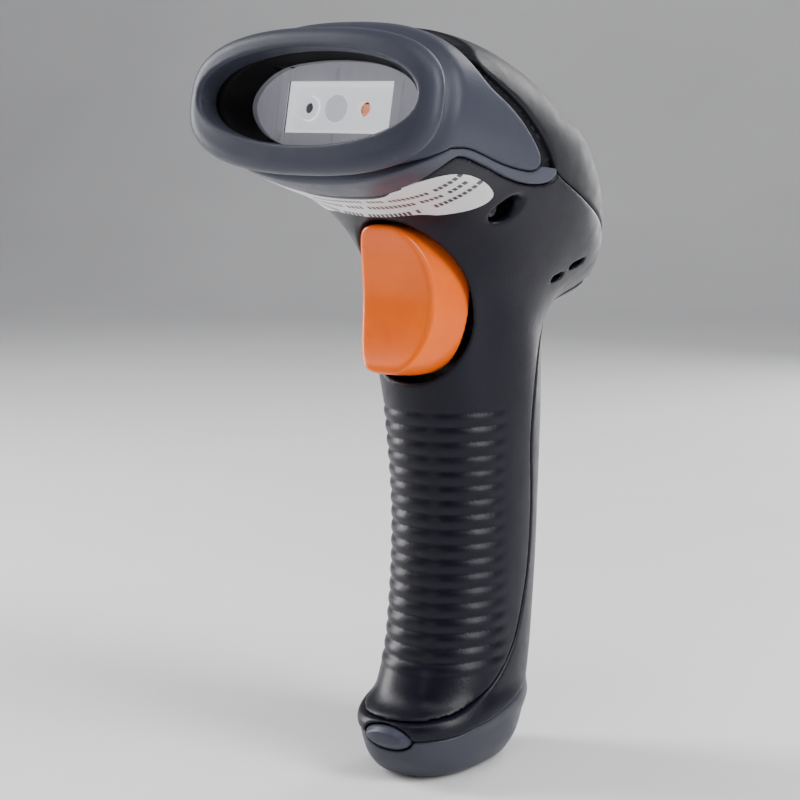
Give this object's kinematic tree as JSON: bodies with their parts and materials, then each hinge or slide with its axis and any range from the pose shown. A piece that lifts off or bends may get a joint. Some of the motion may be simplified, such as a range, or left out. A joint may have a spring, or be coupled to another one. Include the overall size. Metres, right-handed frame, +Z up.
{
  "type": "handheld barcode scanner",
  "caption": "Pistol-grip scanner with a wide soft-rimmed nose, oval window, ribbed grip, hinged trigger switch and a sprung button on the toe.",
  "frame": {"origin": "middle of the foot's flat sole", "axes": "+Z up the grip, -Y out of the nose, X across the body"},
  "size_m": [0.0653, 0.1029, 0.1662],
  "materials": {
    "bumper_rubber": "satin blue-grey elastomer, fine grain",
    "trim_grey": "satin lighter grey",
    "cover_plastic": "satin charcoal, fine grain",
    "shell_plastic": "satin navy-black, fine grain",
    "foot_grey": "satin mid-grey",
    "label_film": "satin white film with neutral printed dashes",
    "mouth_black": "matt black",
    "window_glass": "clear, anti-scratch",
    "mask_grey": "grey back-printed mask",
    "gasket_rubber": "soft black",
    "tray_white": "white diffuse reflector",
    "engine_black": "black glass-filled",
    "lens_glass": "coated lens",
    "diffuser": "frosted diffuser",
    "led_amber": "amber emitter",
    "circuit_board": "green solder mask",
    "bracket_steel": "plated sheet",
    "screw_steel": "zinc plated",
    "flex_film": "amber film",
    "chip_black": "moulded package",
    "switch_body": "moulded",
    "plunger_black": "acetal",
    "socket_plastic": "black nylon",
    "contact_gold": "gold flash",
    "trigger_orange": "glossy saturated orange",
    "pin_steel": "ground",
    "spring_steel": "drawn wire",
    "button_grey": "satin grey"
  },
  "bodies": {
    "housing": {"nose_bumper": "bumper_rubber", "trim_band": "trim_grey", "top_cover": "cover_plastic", "front_shell": "shell_plastic", "backstrap": "shell_plastic", "foot_cap": "foot_grey", "label": "label_film", "mouth_frame": "mouth_black", "scan_window": "window_glass", "window_mask": "mask_grey", "window_gasket": "gasket_rubber", "light_tray": "tray_white", "engine_housing": "engine_black", "lens_barrel": "tray_white", "camera_lens": "lens_glass", "aimer_lens": "diffuser", "illumination_led": "led_amber", "engine_board": "circuit_board", "engine_bracket": "bracket_steel", "engine_screws": "screw_steel", "engine_flex": "flex_film", "main_board": "circuit_board", "processor": "chip_black", "board_chips": "chip_black", "buzzer": "chip_black", "board_screws": "screw_steel", "trigger_switch": "switch_body", "cord_socket": "socket_plastic", "socket_contacts": "contact_gold", "neck_screws": "screw_steel", "sole_screws": "screw_steel", "trigger_pin": "pin_steel", "trigger_spring": "spring_steel", "button_spring": "spring_steel"},
    "trigger": {"trigger": "trigger_orange"},
    "plunger": {"switch_plunger": "plunger_black"},
    "release_button": {"release_button": "button_grey"}
  },
  "joints": [
    {"name": "trigger_pull", "type": "hinge", "parent": "housing", "child": "trigger", "pos_m": [0, -0.007, 0.1185], "axis": [1, 0, 0], "range_deg": [0, 5], "stiffness_Nm_per_rad": 0.15, "springref_deg": -5.73, "deforming": ["trigger_spring"]},
    {"name": "switch_press", "type": "slide", "parent": "housing", "child": "plunger", "axis": [0, 1, 0], "range_m": [0, 0.0019]},
    {"name": "button_press", "type": "slide", "parent": "housing", "child": "release_button", "axis": [0, 1, 0], "range_m": [0, 0.0012], "stiffness_N_per_m": 400, "springref_m": -0.001, "deforming": ["button_spring"]}
  ],
  "couplings": [
    {"joint": "switch_press", "follows": "trigger_pull", "m_per_rad": 0.0215}
  ]
}
